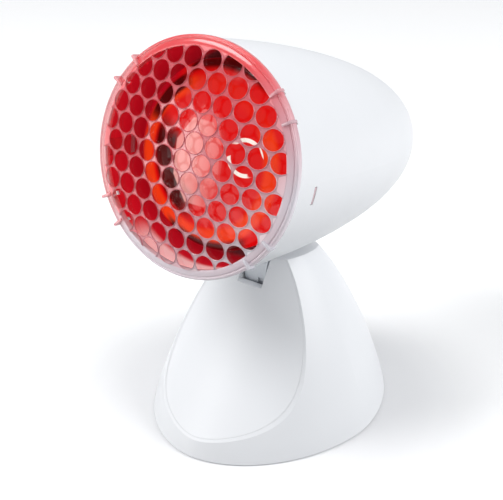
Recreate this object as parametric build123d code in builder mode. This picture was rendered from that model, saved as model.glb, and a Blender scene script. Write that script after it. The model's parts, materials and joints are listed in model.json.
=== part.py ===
from build123d import *
from math import asin, copysign, cos, pi, radians, sin, sqrt, tan
import os

# Infrared heat lamp: a bullet shaped head with a clear honeycomb grille tilts on a bell shaped foot.
# Millimetres, +Z up, the lamp shines towards -Y. The origin is on the floor, under the middle of the
# whole lamp, so the foot stands a little in front of it and the head's tail reaches out behind.

os.makedirs("parts", exist_ok=True)

# ---------------------------------------------------------------- driving dimensions
WALL = 2.5                  # moulded wall of the housings
GAP = 0.3                   # clearance round a piece that sits in another
RUNNING = 0.05              # radial clearance of a turning pin

# Foot
FOOT_Y = -18.93             # the foot's middle, in front of the origin
FLOOR_GAP = 0.8             # the shell's lower edge stands this far off the floor
FOOT_HALF_WIDTH = 65.8      # half the foot's width at the floor
FOOT_DEPTH_RATIO = 1.204    # the foot is this much deeper than it is wide
PLAN_POWER = 1.834          # 2 makes the foot's sections ellipses, less draws them in between the axes
PLAN_POINTS = 24            # points round each section
FOOT_TOP = 97.4             # height of the foot's rolled top at its crest
APEX_RISE = 11.6            # the bell would close this far above its top
BELL_POWER = 1.1335         # how early the flank leaves the vertical
BELL_ROUND = 0.5554         # how round the shoulder is
BELL_DRIFT = 1.74           # the bell's middle moves back by this much towards its top
BELL_LEVELS = 8             # lofted sections
TOP_RADIUS = 100.0          # radius of that roll, about a line across the foot
TOP_LEAD = 11.0             # the crest lies this far in front of the pivot
PANEL_LEAD = 527.6          # the front panel is a little hollow along its length, about a line that
PANEL_AXIS_Z = 461.5        # lies this far in front of the foot, at this height
PANEL_SWEEP = 696.8         # radius of the panel's middle line about it
PANEL_RADIUS = 69.3         # radius of the panel across its width
PANEL_ARC = 20.0            # degrees that the panel spans about that line
PANEL_START = 20.0          # it starts this far under the floor
COVER_WALL = 2.5
COVER_LIP = 0.8             # the rear shell's edge shows this wide round the cover

# Tilting joint
PIVOT_LEAD = 1.38           # the pivot lies this far behind the foot's middle
PIVOT_Y = FOOT_Y + PIVOT_LEAD
PIVOT_Z = 86.0
DRUM_RADIUS = 17.5
DRUM_WIDTH = 14.0
SLOT_WIDTH = 16.0
SLOT_DROP = 4.1             # the slot in the front cover opens this far under the pivot
SLOT_REAR = 27.0            # and ends this far behind it
SLOT_CORNER = 8.0           # its rear wall turns upright this far under the foot's top
POCKET_GAP = 2.1            # room between the drum and its pocket, for the stops' spring
POCKET_WALL = 2.2
CHEEK_HEIGHT = 21.0         # the pocket's cheeks are square up to this far over the pivot
CHEEK_REACH = 8.0           # and stand out this far beyond its round wall
PIN_RADIUS = 3.0
PIN_UNDERSIZE = 0.02
DETENT_COUNT = 5
DETENT_STEP = 7.5           # degrees between two stops
DETENT_ANGLE = 24.0         # the spring's nose points at the drum from this far below level
NOTCH_RADIUS = 1.3
NOTCH_WIDTH = 5.0
NOTCH_X = 4.2               # the row of notches lies to one side of the drum

# Head
HEAD_TILT = 14.5            # the head looks up by this angle at rest
RING_Y = PIVOT_Y - 67.2     # middle of the ring plane, where grille and shell meet
RING_Z = 172.5
HEAD_RADIUS = 58.4
HEAD_LENGTH = 193.5         # ring plane to the rear tip
HEAD_PARALLEL = 6.0         # the first stretch of the shell is straight
TAIL_POWER = 1.68
TAIL_ROUND = 2.82

# Grille
GRILLE_RADIUS = HEAD_RADIUS + 1.6
GRILLE_FLANGE = 4.0         # thickness of the bezel
GRILLE_FACE_RADIUS = HEAD_RADIUS - WALL - 2 * GAP   # the holes stop here
GRILLE_RIM_RISE = 5.6       # front of the honeycomb at its edge, in front of the ring plane
GRILLE_DOME = 7.4           # the honeycomb's middle stands this much further out
GRILLE_DEPTH = 5.0          # depth of the honeycomb's walls
HOLE_PITCH = 11.4
HOLE_RADIUS = 5.3
HOLE_ROWS = 5               # rows each side of the middle one
CLIP_ANGLES = (-6.5, 186.5)
CLIP_DEPTH = 18.0           # the latch window lies this far behind the ring plane
CLIP_WIDTH = 9.4
CLIP_THICK = 1.4
WINDOW_HEIGHT = 2.2
PAD_ANGLES = (37.0, 143.0, -39.0, 219.0)
PAD_SPAN = 15.0             # degrees between the two ribs of a pad

# Lamp
BULB_RADIUS = 48.5
BULB_FRONT = 9.0            # the lens's middle lies this far behind the ring plane
LENS_DOME = 7.0
LENS_RIM = 9.0              # depth of the lens's skirt
REFLECTOR_END = 112.0
REFLECTOR_NECK = 15.0
GLASS = 2.0
CAP_RADIUS = 13.2
CAP_LENGTH = 26.0
HOLDER_RADIUS = 20.0
HOLDER_LENGTH = 44.0

# Weight, plate, feet
PLATE_THICK = 2.5
PLATE_FLOOR = 2.2           # height of the base plate's underside
PAD_FOOT_RADIUS = 6.0
PAD_SINK = 0.8              # the rubber pads sit this deep in the plate
PAD_TURN = 44.0             # degrees from the foot's side to a pad, seen from its middle
PAD_INSET = 13.0            # a pad's middle lies this far inside the foot's edge
BALLAST_THICK = 9.0
BALLAST_HALF_WIDTH = 33.0
BALLAST_HALF_DEPTH = 42.0
BALLAST_Y = FOOT_Y + 10.0
BOSS_RADIUS = 3.6
BASE_BOSS_TURN = 18.0       # the screw bosses stand at these angles from the foot's side
BASE_BOSS_INSET = 12.0      # and this far inside its edge
COVER_BOSS_TURN = -64.5
COVER_BOSS_INSET = 20.0
SCREW_RADIUS = 1.5
SCREW_HEAD_RADIUS = 3.0
SCREW_HEAD = 1.6
SCREW_CROSS = (3.2, 0.7, 1.2)   # length, width and depth of the driver's cross, half of it above
BOSS_BORE = 12.0            # depth of the screws' bores in their bosses
HOUSING_SCREW = 9.0
BALLAST_SCREW = 5.0

TERMINAL_SIZE = (22.0, 14.0, 12.0)

# Switch and inlet at the rear
SWITCH_Z = 36.0
SWITCH_WIDTH = 21.0
SWITCH_HEIGHT = 15.0
SWITCH_DEPTH = 15.0
SWITCH_FRAME = 1.5          # thickness of the frame that bears on the shell
SWITCH_BORDER = 2.0         # and how far it reaches round the body
SWITCH_SINK = 3.5           # the frame's seat lies this far under the foot's surface
ROCKER_WIDTH = 14.0
ROCKER_HEIGHT = 10.0
ROCKER_TILT = 9.0           # degrees to each side of level
ROCKER_DEPTH = 3.0          # its pin lies this far under the frame's seat
ROCKER_PIN = 1.2
PIN_STUB = 1.3              # its pin stands out this far at each end
SWITCH_TAG = (0.8, 4.8, 7.0)    # thickness, width and length of a soldering tag
INLET_Z = 15.0
INLET_RADIUS = 5.0
INLET_FLANGE = 1.5
INLET_SINK = 1.2
CABLE_RADIUS = 3.1
SEAT_RIM = 2.0              # wall left round a recess in the shell

# ---------------------------------------------------------------- shared frames and outlines
tilt = radians(HEAD_TILT)
FORWARD = Vector(0, -cos(tilt), sin(tilt))
RING_CENTRE = Vector(0, RING_Y, RING_Z)
UPWARD = Vector(0, sin(tilt), cos(tilt))
HEAD_AXIS = Axis(RING_CENTRE, FORWARD)
HEAD_PROFILE = Plane(RING_CENTRE, x_dir=(1, 0, 0), z_dir=Vector(0, -sin(tilt), -cos(tilt)))
PIVOT = Vector(0, PIVOT_Y, PIVOT_Z)
SIDE = Plane.YZ
PLATE_TOP = PLATE_FLOOR + PLATE_THICK
FOOT_HALF_DEPTH = FOOT_HALF_WIDTH * FOOT_DEPTH_RATIO
FOOT_APEX = FOOT_TOP + APEX_RISE
PANEL_AXIS_Y = FOOT_Y - FOOT_HALF_DEPTH - PANEL_LEAD


def head_plane(depth):
    """Plane across the head, facing forward, this far behind the ring plane."""
    return Plane(RING_CENTRE - FORWARD * depth, x_dir=(1, 0, 0), z_dir=FORWARD)


def head_radius(depth, inset=0.0):
    """Radius of the bullet at a depth behind the ring plane."""
    length = HEAD_LENGTH - inset
    along = min(max(depth - HEAD_PARALLEL, 0) / (length - HEAD_PARALLEL), 1)
    rise = sqrt(max(1 - along ** TAIL_POWER, 0))
    return (HEAD_RADIUS - inset) * rise ** (2 / TAIL_ROUND)


def bell_half_width(height):
    return FOOT_HALF_WIDTH * (1 - (max(height, 0) / FOOT_APEX) ** BELL_POWER) ** BELL_ROUND


def bell_middle(height):
    return FOOT_Y + BELL_DRIFT * max(height, 0) / FOOT_APEX


def bell_rear(height):
    return bell_middle(height) + bell_half_width(height) * FOOT_DEPTH_RATIO


def bullet(inset, front):
    """Solid of the head's outline, pulled in by inset and cut off at the plane front."""
    tip = HEAD_LENGTH - inset
    bend = tip - HEAD_PARALLEL
    depths = [HEAD_PARALLEL + bend * sin(pi / 2 * i / 9) ** (2 / TAIL_POWER) for i in range(1, 9)]
    with BuildPart() as solid:
        with BuildSketch(HEAD_PROFILE):
            with BuildLine():
                start = (HEAD_RADIUS - inset, -HEAD_PARALLEL)
                Polyline((0, -tip), (0, -front), (HEAD_RADIUS - inset, -front), start)
                Spline(start, *[(head_radius(d, inset), -d) for d in depths], (0, -tip),
                       tangents=((0, -1), (-1, 0)))
            make_face()
        revolve(axis=HEAD_AXIS)
    return solid.part


def plan_point(turn, across, along):
    """Point of a section's outline, an ellipse drawn in between its axes."""
    return (copysign(across * abs(cos(turn)) ** (2 / PLAN_POWER), cos(turn)),
            copysign(along * abs(sin(turn)) ** (2 / PLAN_POWER), sin(turn)))


def bell(inset, low, high):
    """Solid of the foot's outline between two heights, pulled in by inset."""
    with BuildPart() as solid:
        for level in range(BELL_LEVELS):
            height = low + (high - low) * level / (BELL_LEVELS - 1)
            across = bell_half_width(height) - inset
            along = bell_half_width(height) * FOOT_DEPTH_RATIO - inset
            with BuildSketch(Plane((0, bell_middle(height), height))):
                with BuildLine():
                    turns = [2 * pi * i / PLAN_POINTS for i in range(PLAN_POINTS)]
                    Spline(*[plan_point(turn, across, along) for turn in turns], periodic=True)
                make_face()
        loft()
    return solid.part


def behind_panel(inset):
    """Everything behind the front panel's surface, moved back by inset."""
    vertex = PANEL_SWEEP + inset
    radius = PANEL_RADIUS - inset
    reach = vertex + 3 * FOOT_HALF_DEPTH
    low = asin((-PANEL_START - PANEL_AXIS_Z) / PANEL_SWEEP)
    corner = (0, PANEL_AXIS_Y, PANEL_AXIS_Z)
    sweep_plane = Plane(corner, x_dir=(1, 0, 0), z_dir=(0, -sin(low), cos(low)))
    with BuildPart() as solid:
        with BuildSketch(sweep_plane):
            with BuildLine():
                ThreePointArc((-radius, vertex + radius), (0, vertex), (radius, vertex + radius))
                Polyline((radius, vertex + radius), (radius, reach), (-radius, reach),
                         (-radius, vertex + radius))
            make_face()
        revolve(axis=Axis(corner, (1, 0, 0)), revolution_arc=PANEL_ARC)
    return solid.part


def under_top(drop):
    """Everything under the foot's rolled top, lowered by drop."""
    with BuildPart() as solid:
        with Locations((0, PIVOT_Y - TOP_LEAD, FOOT_TOP - TOP_RADIUS)):
            Cylinder(TOP_RADIUS - drop, 4 * FOOT_HALF_WIDTH, rotation=(0, 90, 0))
    return solid.part


def keep(piece, name):
    piece.label = name
    export_step(piece, f"parts/{name}.step")


def turned(*profile):
    """Solid of revolution about the head's axis, from its corners as (radius, depth) pairs."""
    with BuildPart() as solid:
        with BuildSketch(HEAD_PROFILE):
            with BuildLine():
                Polyline(*[(radius, -depth) for radius, depth in profile], close=True)
            make_face()
        revolve(axis=HEAD_AXIS)
    return solid.part


# ---------------------------------------------------------------- foot: forms that its pieces share
foot_outside = bell(0, FLOOR_GAP, FOOT_TOP + 4)
foot_inside = bell(WALL, FLOOR_GAP - 1, FOOT_TOP + 4)
foot_mid_wall = bell(WALL / 2, FLOOR_GAP, FOOT_TOP + 4)
cover_outline = bell(COVER_LIP, FLOOR_GAP, FOOT_TOP + 4)
cover_seat = bell(COVER_LIP - GAP / 2, FLOOR_GAP, FOOT_TOP + 4)
panel_front = behind_panel(0)
panel_back = behind_panel(COVER_WALL)
seat_face = behind_panel(COVER_WALL + GAP / 2)
top_outside = under_top(0)
top_inside = under_top(WALL)


def inside_wall(degree, inset):
    """The pair of places on the floor this far inside the foot's edge, left and right."""
    x, y = plan_point(radians(degree), FOOT_HALF_WIDTH - inset, FOOT_HALF_DEPTH - inset)
    return [(side * x, FOOT_Y + y) for side in (-1, 1)]


BASE_BOSSES = inside_wall(BASE_BOSS_TURN, BASE_BOSS_INSET)
COVER_BOSSES = inside_wall(COVER_BOSS_TURN, COVER_BOSS_INSET)
SLOT_FLOOR = PIVOT_Z - SLOT_DROP
SLOT_TOP = FOOT_TOP + 2 * WALL + DRUM_RADIUS
SLOT_FRONT = FOOT_Y - FOOT_HALF_DEPTH
POCKET_RADIUS = DRUM_RADIUS + POCKET_GAP
POCKET_OUTER = POCKET_RADIUS + POCKET_WALL
PIN_REACH = SLOT_WIDTH / 2 + POCKET_WALL
NOSE_RADIUS = 1.1
NOSE_LIFT = 0.6             # the nose's middle stands this far off the drum
LEAF_SEAT = 0.4             # gap between the leaf and the pocket's wall, filled by its rivet
LEAF_THICK = 0.4
LEAF_INNER = POCKET_RADIUS - LEAF_THICK - LEAF_SEAT
LEAF_SPAN = (190.0, 260.0)
RIVET_ANGLE = 250.0
RIVET_RADIUS = 0.75
RIVET_HEAD = 0.6


def rear_seat(height, sink):
    """Plane that faces out of the foot's rear, square to its slope and sunk under its surface."""
    slope = (bell_rear(height + 1) - bell_rear(height - 1)) / 2
    facing = Vector(0, 1, -slope).normalized()
    return Plane(Vector(0, bell_rear(height), height) - facing * sink, x_dir=(-1, 0, 0), z_dir=facing)


SWITCH_SEAT = rear_seat(SWITCH_Z, SWITCH_SINK)
INLET_SEAT = rear_seat(INLET_Z, INLET_SINK)


def about_pivot(angle, radius):
    """Point in the side view (Y, Z) at an angle from +Y and a distance from the pivot."""
    return (PIVOT_Y + radius * cos(radians(angle)), PIVOT_Z + radius * sin(radians(angle)))


on_face = (Align.CENTER, Align.CENTER, Align.MIN)     # a form that stands on its place
under_face = (Align.CENTER, Align.CENTER, Align.MAX)  # and one that hangs under it
RIVET_SEAT = Plane((NOTCH_X, *about_pivot(RIVET_ANGLE, LEAF_INNER)),
                   z_dir=(0, cos(radians(RIVET_ANGLE)), sin(radians(RIVET_ANGLE))))


def columns(places, under):
    """Screw bosses that stand on the base plate and run up into the wall above them."""
    with BuildPart() as solid:
        with Locations(*[(x, y, PLATE_TOP) for x, y in places]):
            Cylinder(BOSS_RADIUS, FOOT_TOP, align=on_face)
        add(under, mode=Mode.INTERSECT)
    return solid.part


def screw(length):
    """Pan head screw, head up, its seat at the origin."""
    cross_long, cross_wide, cross_deep = SCREW_CROSS
    with BuildPart() as solid:
        Cylinder(SCREW_HEAD_RADIUS, SCREW_HEAD, align=on_face)
        fillet(solid.edges().group_by(Axis.Z)[-1], SCREW_HEAD / 2)
        Cylinder(SCREW_RADIUS, length, align=under_face)
        with Locations((0, 0, SCREW_HEAD)):
            Box(cross_long, cross_wide, cross_deep, mode=Mode.SUBTRACT)
            Box(cross_wide, cross_long, cross_deep, mode=Mode.SUBTRACT)
    return solid.part


def slot_void(width, radius):
    """The slot for the head's knuckle: a round pocket about the pivot, open above and to the front."""
    with BuildPart() as solid:
        with BuildSketch(SIDE):
            with Locations((PIVOT_Y, PIVOT_Z)):
                Circle(radius)
            with BuildLine():
                Polyline((SLOT_FRONT, SLOT_FLOOR), (PIVOT_Y, SLOT_FLOOR), (PIVOT_Y + radius, PIVOT_Z),
                         (PIVOT_Y + SLOT_REAR, FOOT_TOP - SLOT_CORNER), (PIVOT_Y + SLOT_REAR, SLOT_TOP),
                         (SLOT_FRONT, SLOT_TOP), close=True)
            make_face()
        extrude(amount=width / 2, both=True)
    return solid.part


# ---------------------------------------------------------------- rear shell
with BuildPart() as rear_shell:
    add(foot_outside)
    add(top_outside, mode=Mode.INTERSECT)
    add(foot_inside & top_inside, mode=Mode.SUBTRACT)
    # cheeks of the knuckle's pocket
    with BuildPart(mode=Mode.PRIVATE) as cheeks:
        with BuildSketch(SIDE):
            with Locations((PIVOT_Y, PIVOT_Z)):
                Circle(POCKET_OUTER)
            with Locations((PIVOT_Y, PIVOT_Z)):
                Rectangle(2 * (POCKET_OUTER + CHEEK_REACH), CHEEK_HEIGHT, align=(Align.CENTER, Align.MIN))
        extrude(amount=SLOT_WIDTH / 2 + POCKET_WALL, both=True)
        add(foot_mid_wall & top_outside, mode=Mode.INTERSECT)
    add(cheeks.part)
    # bosses for the base plate's screws
    add(columns(BASE_BOSSES, foot_mid_wall))
    # flat seats for the switch and the cable inlet
    recess = (SWITCH_WIDTH + 2 * SWITCH_BORDER + GAP, SWITCH_HEIGHT + 2 * SWITCH_BORDER + GAP)
    with BuildPart(mode=Mode.PRIVATE) as seats:
        with Locations(SWITCH_SEAT.offset(-WALL)):
            Box(recess[0] + 2 * SEAT_RIM, recess[1] + 2 * SEAT_RIM, WALL + SWITCH_SINK, align=on_face)
        with Locations(INLET_SEAT.offset(-WALL)):
            Cylinder(INLET_RADIUS + INLET_FLANGE + SEAT_RIM, WALL + INLET_SINK, align=on_face)
        add(foot_mid_wall, mode=Mode.INTERSECT)
    add(seats.part)
    # the front is cut away behind the cover, which sits in a step inside a thin lip
    add(panel_front, mode=Mode.INTERSECT)
    add(cover_seat - seat_face, mode=Mode.SUBTRACT)
    add(slot_void(SLOT_WIDTH, POCKET_RADIUS), mode=Mode.SUBTRACT)
    with Locations(SWITCH_SEAT):
        Box(*recess, 4 * SWITCH_SINK, align=on_face, mode=Mode.SUBTRACT)
        Box(SWITCH_WIDTH + GAP, SWITCH_HEIGHT + GAP, 4 * WALL, mode=Mode.SUBTRACT)
    with Locations(INLET_SEAT):
        Cylinder(INLET_RADIUS + INLET_FLANGE + GAP, 8 * INLET_SINK, align=on_face, mode=Mode.SUBTRACT)
        Cylinder(INLET_RADIUS, 4 * WALL, mode=Mode.SUBTRACT)
    with Locations(PIVOT):
        Cylinder(PIN_RADIUS, 2 * PIN_REACH + 1, rotation=(0, 90, 0), mode=Mode.SUBTRACT)
    with Locations(RIVET_SEAT):
        Cylinder(RIVET_RADIUS + RUNNING, 4 * POCKET_WALL, mode=Mode.SUBTRACT)
    with Locations(*[(x, y, PLATE_TOP) for x, y in BASE_BOSSES]):
        Cylinder(SCREW_RADIUS, BOSS_BORE, align=on_face, mode=Mode.SUBTRACT)
keep(rear_shell.part, "rear_shell")

# ---------------------------------------------------------------- front cover
with BuildPart() as front_cover:
    add(cover_outline & top_outside)
    add(panel_front, mode=Mode.INTERSECT)
    add(panel_back, mode=Mode.SUBTRACT)
    add(columns(COVER_BOSSES, foot_inside & behind_panel(COVER_WALL / 2)))
    add(slot_void(SLOT_WIDTH, POCKET_RADIUS), mode=Mode.SUBTRACT)
    with Locations(*[(x, y, PLATE_TOP) for x, y in COVER_BOSSES]):
        Cylinder(SCREW_RADIUS, BOSS_BORE, align=on_face, mode=Mode.SUBTRACT)
keep(front_cover.part, "front_cover")

# ---------------------------------------------------------------- base plate, feet and weight
FEET = inside_wall(PAD_TURN, PAD_INSET) + inside_wall(-PAD_TURN, PAD_INSET)
BALLAST_SCREWS = [(side * 0.6 * BALLAST_HALF_WIDTH, BALLAST_Y) for side in (-1, 1)]

with BuildPart() as base_plate:
    add(bell(WALL + GAP, PLATE_FLOOR, PLATE_TOP))
    screw_places = BASE_BOSSES + COVER_BOSSES + BALLAST_SCREWS
    with Locations(*[(x, y, PLATE_FLOOR) for x, y in screw_places]):
        Cylinder(SCREW_RADIUS, 4 * PLATE_THICK, mode=Mode.SUBTRACT)
        Cylinder(SCREW_HEAD_RADIUS + GAP, 2 * SCREW_HEAD, mode=Mode.SUBTRACT)
    with Locations(*[(x, y, PLATE_FLOOR) for x, y in FEET]):
        Cylinder(PAD_FOOT_RADIUS + GAP, 2 * PAD_SINK, mode=Mode.SUBTRACT)
keep(base_plate.part, "base_plate")

with BuildPart() as rubber_feet:
    with Locations(*[(x, y, 0) for x, y in FEET]):
        Cone(PAD_FOOT_RADIUS - 1, PAD_FOOT_RADIUS, PLATE_FLOOR + PAD_SINK, align=on_face)
keep(rubber_feet.part, "rubber_feet")

with BuildPart() as ballast_weight:
    with BuildSketch(Plane.XY.offset(PLATE_TOP)):
        with Locations((0, BALLAST_Y)):
            Ellipse(BALLAST_HALF_WIDTH, BALLAST_HALF_DEPTH)
    extrude(amount=BALLAST_THICK)
    fillet(ballast_weight.edges().group_by(Axis.Z)[-1], 1.5)
    with Locations(*[(x, y, PLATE_TOP) for x, y in BALLAST_SCREWS]):
        Cylinder(SCREW_RADIUS, BALLAST_THICK + GAP, mode=Mode.SUBTRACT)
keep(ballast_weight.part, "ballast_weight")


def hung_screws(places, length, name):
    """Screws that enter the base plate from below."""
    with BuildPart() as group:
        with Locations(*[Location((x, y, PLATE_FLOOR + SCREW_HEAD), (180, 0, 0)) for x, y in places]):
            add(screw(length))
    keep(group.part, name)


hung_screws(BASE_BOSSES + COVER_BOSSES, HOUSING_SCREW, "housing_screws")

hung_screws(BALLAST_SCREWS, BALLAST_SCREW, "ballast_screws")

with BuildPart() as terminal_block:
    long, deep, high = TERMINAL_SIZE
    with Locations((0, BALLAST_Y, PLATE_TOP + BALLAST_THICK)):
        Box(long, deep, high / 2, align=(Align.CENTER, Align.CENTER, Align.MIN))
        Box(long, deep / 2, high, align=(Align.CENTER, Align.CENTER, Align.MIN))
    with Locations((0, BALLAST_Y, PLATE_TOP + BALLAST_THICK + high)):
        with GridLocations(long / 3, 1, 3, 1):
            Cylinder(2.2, 2 * 4, mode=Mode.SUBTRACT)
    with Locations((0, BALLAST_Y, PLATE_TOP + BALLAST_THICK + high / 2)):
        with GridLocations(long / 3, 1, 3, 1):
            Cylinder(1.6, deep, rotation=(90, 0, 0), mode=Mode.SUBTRACT)
keep(terminal_block.part, "terminal_block")

# ---------------------------------------------------------------- pivot
with BuildPart() as pivot_pin:
    with Locations(Plane(PIVOT, z_dir=(1, 0, 0))):
        Cylinder(PIN_RADIUS - PIN_UNDERSIZE, 2 * PIN_REACH + 4)
        with Locations((0, 0, PIN_REACH)):
            Cylinder(PIN_RADIUS + 1.6, 2.2, align=(Align.CENTER, Align.CENTER, Align.MIN))
        with Locations((0, 0, -PIN_REACH - 0.9)):
            Cylinder(PIN_RADIUS + 1, 0.9, mode=Mode.SUBTRACT)
            Cylinder(PIN_RADIUS - 0.6, 0.9)
keep(pivot_pin.part, "pivot_pin")

with BuildPart() as pivot_clip:
    with BuildSketch(Plane(PIVOT - Vector(PIN_REACH + 0.9, 0, 0), z_dir=(1, 0, 0))):
        Circle(PIN_RADIUS + 2.4)
        Circle(PIN_RADIUS - 0.58, mode=Mode.SUBTRACT)
        with Locations((0, -PIN_RADIUS)):
            Rectangle(2 * PIN_RADIUS - 2, 2 * PIN_RADIUS, mode=Mode.SUBTRACT)
    extrude(amount=0.4, both=True)
keep(pivot_clip.part, "pivot_clip")

with BuildPart() as friction_washers:
    for side in (-1, 1):
        middle = PIVOT + Vector(side * (DRUM_WIDTH + SLOT_WIDTH) / 4, 0, 0)
        with Locations(Plane(middle, z_dir=(1, 0, 0))):
            Cylinder(8.0, (SLOT_WIDTH - DRUM_WIDTH) / 2 - 0.2)
            Cylinder(PIN_RADIUS + 0.1, 2, mode=Mode.SUBTRACT)
keep(friction_washers.part, "friction_washers")

# ---------------------------------------------------------------- detent leaf on the pocket's wall
with BuildPart() as detent_spring:
    with BuildSketch(SIDE.offset(NOTCH_X)):
        with BuildLine():
            first, last = LEAF_SPAN
            middle = (first + last) / 2
            outer = LEAF_INNER + LEAF_THICK
            ThreePointArc(*[about_pivot(t, LEAF_INNER) for t in (first, middle, last)])
            Line(about_pivot(last, LEAF_INNER), about_pivot(last, outer))
            ThreePointArc(*[about_pivot(t, outer) for t in (last, middle, first)])
            Line(about_pivot(first, outer), about_pivot(first, LEAF_INNER))
        make_face()
        with Locations(about_pivot(180 + DETENT_ANGLE, DRUM_RADIUS + NOSE_LIFT)):
            Circle(NOSE_RADIUS)
    extrude(amount=(NOTCH_WIDTH - 1) / 2, both=True)
    with Locations(RIVET_SEAT):
        Cylinder(RIVET_RADIUS + RUNNING, 4 * LEAF_SEAT, mode=Mode.SUBTRACT)
keep(detent_spring.part, "detent_spring")

with BuildPart() as detent_rivet:
    with Locations(RIVET_SEAT.offset(-2 * RUNNING)):
        Cylinder(RIVET_RADIUS, POCKET_OUTER - LEAF_INNER, align=on_face)
        Cylinder(2 * RIVET_RADIUS, RIVET_HEAD, align=under_face)
keep(detent_rivet.part, "detent_rivet")

# ---------------------------------------------------------------- rocker switch and cable inlet
CAVITY = 2 * ROCKER_DEPTH + 2.0   # depth of the rocker's well
with BuildPart() as switch_housing:
    with Locations(SWITCH_SEAT):
        border = 2 * SWITCH_BORDER
        Box(SWITCH_WIDTH + border, SWITCH_HEIGHT + border, SWITCH_FRAME, align=on_face)
        corners = switch_housing.edges().filter_by(lambda edge: abs(edge.length - SWITCH_FRAME) < 0.01)
        fillet(corners, SWITCH_BORDER * 0.75)
        Box(SWITCH_WIDTH, SWITCH_HEIGHT, SWITCH_DEPTH, align=under_face)
        Box(ROCKER_WIDTH + 2 * GAP, ROCKER_HEIGHT + 2 * GAP, 2 * CAVITY, mode=Mode.SUBTRACT)
    with Locations(SWITCH_SEAT.offset(-SWITCH_DEPTH)):
        with GridLocations(SWITCH_WIDTH * 0.57, 1, 2, 1):
            Box(*SWITCH_TAG, align=under_face)
    with Locations(SWITCH_SEAT.offset(-ROCKER_DEPTH)):
        Cylinder(ROCKER_PIN + RUNNING, ROCKER_WIDTH + 2 * PIN_STUB + 2 * RUNNING, rotation=(0, 90, 0),
                 mode=Mode.SUBTRACT)
keep(switch_housing.part, "switch_housing")

# the rocker rests with its upper half pressed in
ROCKER_AXIS = Axis(SWITCH_SEAT.offset(-ROCKER_DEPTH).origin, (1, 0, 0))
with BuildPart() as switch_rocker:
    half = ROCKER_HEIGHT / 2 - 0.8
    crown = ROCKER_DEPTH + SWITCH_FRAME + 0.1
    raised = crown + half * tan(radians(ROCKER_TILT))
    with BuildSketch(Plane(ROCKER_AXIS.position, x_dir=SWITCH_SEAT.z_dir, z_dir=(1, 0, 0))):
        with BuildLine():
            Polyline((-ROCKER_DEPTH, -half / 2), (raised, -half), (crown, 0), (raised, half),
                     (-ROCKER_DEPTH, half / 2), close=True)
        make_face()
    extrude(amount=ROCKER_WIDTH / 2, both=True)
    with Locations(Plane(ROCKER_AXIS.position, z_dir=(1, 0, 0))):
        Cylinder(ROCKER_PIN, ROCKER_WIDTH + 2 * PIN_STUB)
keep(switch_rocker.part.rotate(ROCKER_AXIS, ROCKER_TILT), "switch_rocker")

with BuildPart() as cable_inlet:
    with Locations(INLET_SEAT):
        Cylinder(INLET_RADIUS - 0.1, 2 * WALL + 3)
        Cone(INLET_RADIUS + INLET_FLANGE, INLET_RADIUS, 3, align=on_face)
    with Locations(INLET_SEAT.offset(-WALL)):
        Cylinder(INLET_RADIUS + INLET_FLANGE, 1.5, align=(Align.CENTER, Align.CENTER, Align.MAX))
    with Locations(INLET_SEAT):
        Cylinder(CABLE_RADIUS, 8 * INLET_RADIUS, mode=Mode.SUBTRACT)
keep(cable_inlet.part, "cable_inlet")

# ---------------------------------------------------------------- head shell
FLANGE_THICK = 3.0
FLANGE_WIDTH = 32.0
FLANGE_LENGTH = 52.0
TONGUE_FRONT = 24.0         # the tongue's reach in front of the pivot and behind it, at its top
TONGUE_REAR = 23.0
TONGUE_TOP = 24.0
SCREW_DEPTHS = (66.0, 101.0)    # the flange's screws, behind the ring plane
KNUCKLE_SCREW = 5.0
KNUCKLE_SCREWS = [(side * 0.36 * FLANGE_WIDTH, depth) for side in (-1, 1) for depth in SCREW_DEPTHS]
HOLDER_FRONT = REFLECTOR_END - 6
HOLDER_BACK = HOLDER_FRONT + HOLDER_LENGTH
SHIELD_THICK = 0.8
BRACKET_THICK = 1.5
BRACKET_FRONT = HOLDER_BACK + SHIELD_THICK
BRACKET_BACK = BRACKET_FRONT + BRACKET_THICK
BRACKET_HALF = 34.0
BRACKET_WIDTH = 16.0
BRACKET_BOSS = 4.0
BRACKET_SCREW = 8.0
BRACKET_SCREWS = (5.0 - BRACKET_HALF, BRACKET_HALF - 5.0)
RIB_WIDTH = 1.6
RIB_START = 1.6             # the ribs begin this far outside the grille's face
RIB_FOOT = 3.2              # their feet reach this far into the shell's rim
RIB_REACH = 4.4             # the ribs stand out this far from the grille's face
RIB_HALF_SPAN = PAD_SPAN / 2
RIB_ANGLES = [angle + side * RIB_HALF_SPAN for angle in PAD_ANGLES for side in (-1, 1)]

shell_outside = bullet(0, 0)
shell_inside = bullet(WALL, -1)


def knuckle_screw_seats():
    """Where the knuckle's screws stand on its flange, pointing down through the shell."""
    for x, depth in KNUCKLE_SCREWS:
        floor = sqrt(head_radius(depth, WALL + FLANGE_THICK) ** 2 - x ** 2)
        seat = RING_CENTRE - FORWARD * depth + Vector(x, 0, 0) - UPWARD * (floor - 0.8)
        yield Plane(seat, x_dir=(1, 0, 0), z_dir=UPWARD)


def knuckle_body(spare):
    """The tongue under the head with its round drum, widened by spare."""
    with BuildPart() as solid:
        with BuildSketch(SIDE):
            with Locations((PIVOT_Y, PIVOT_Z)):
                Circle(DRUM_RADIUS + spare)
            with BuildLine():
                # an upright tongue that widens from the drum to the shell
                front_y, rear_y = PIVOT_Y - TONGUE_FRONT - spare, PIVOT_Y + TONGUE_REAR + spare
                Polyline((PIVOT_Y - DRUM_RADIUS + 2 - spare, PIVOT_Z + 7),
                         (front_y, PIVOT_Z + TONGUE_TOP), (rear_y, PIVOT_Z + TONGUE_TOP),
                         (PIVOT_Y + DRUM_RADIUS - 3 + spare, PIVOT_Z + 5), close=True)
            make_face()
        extrude(amount=DRUM_WIDTH / 2 + spare, both=True)
    return solid.part


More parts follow.
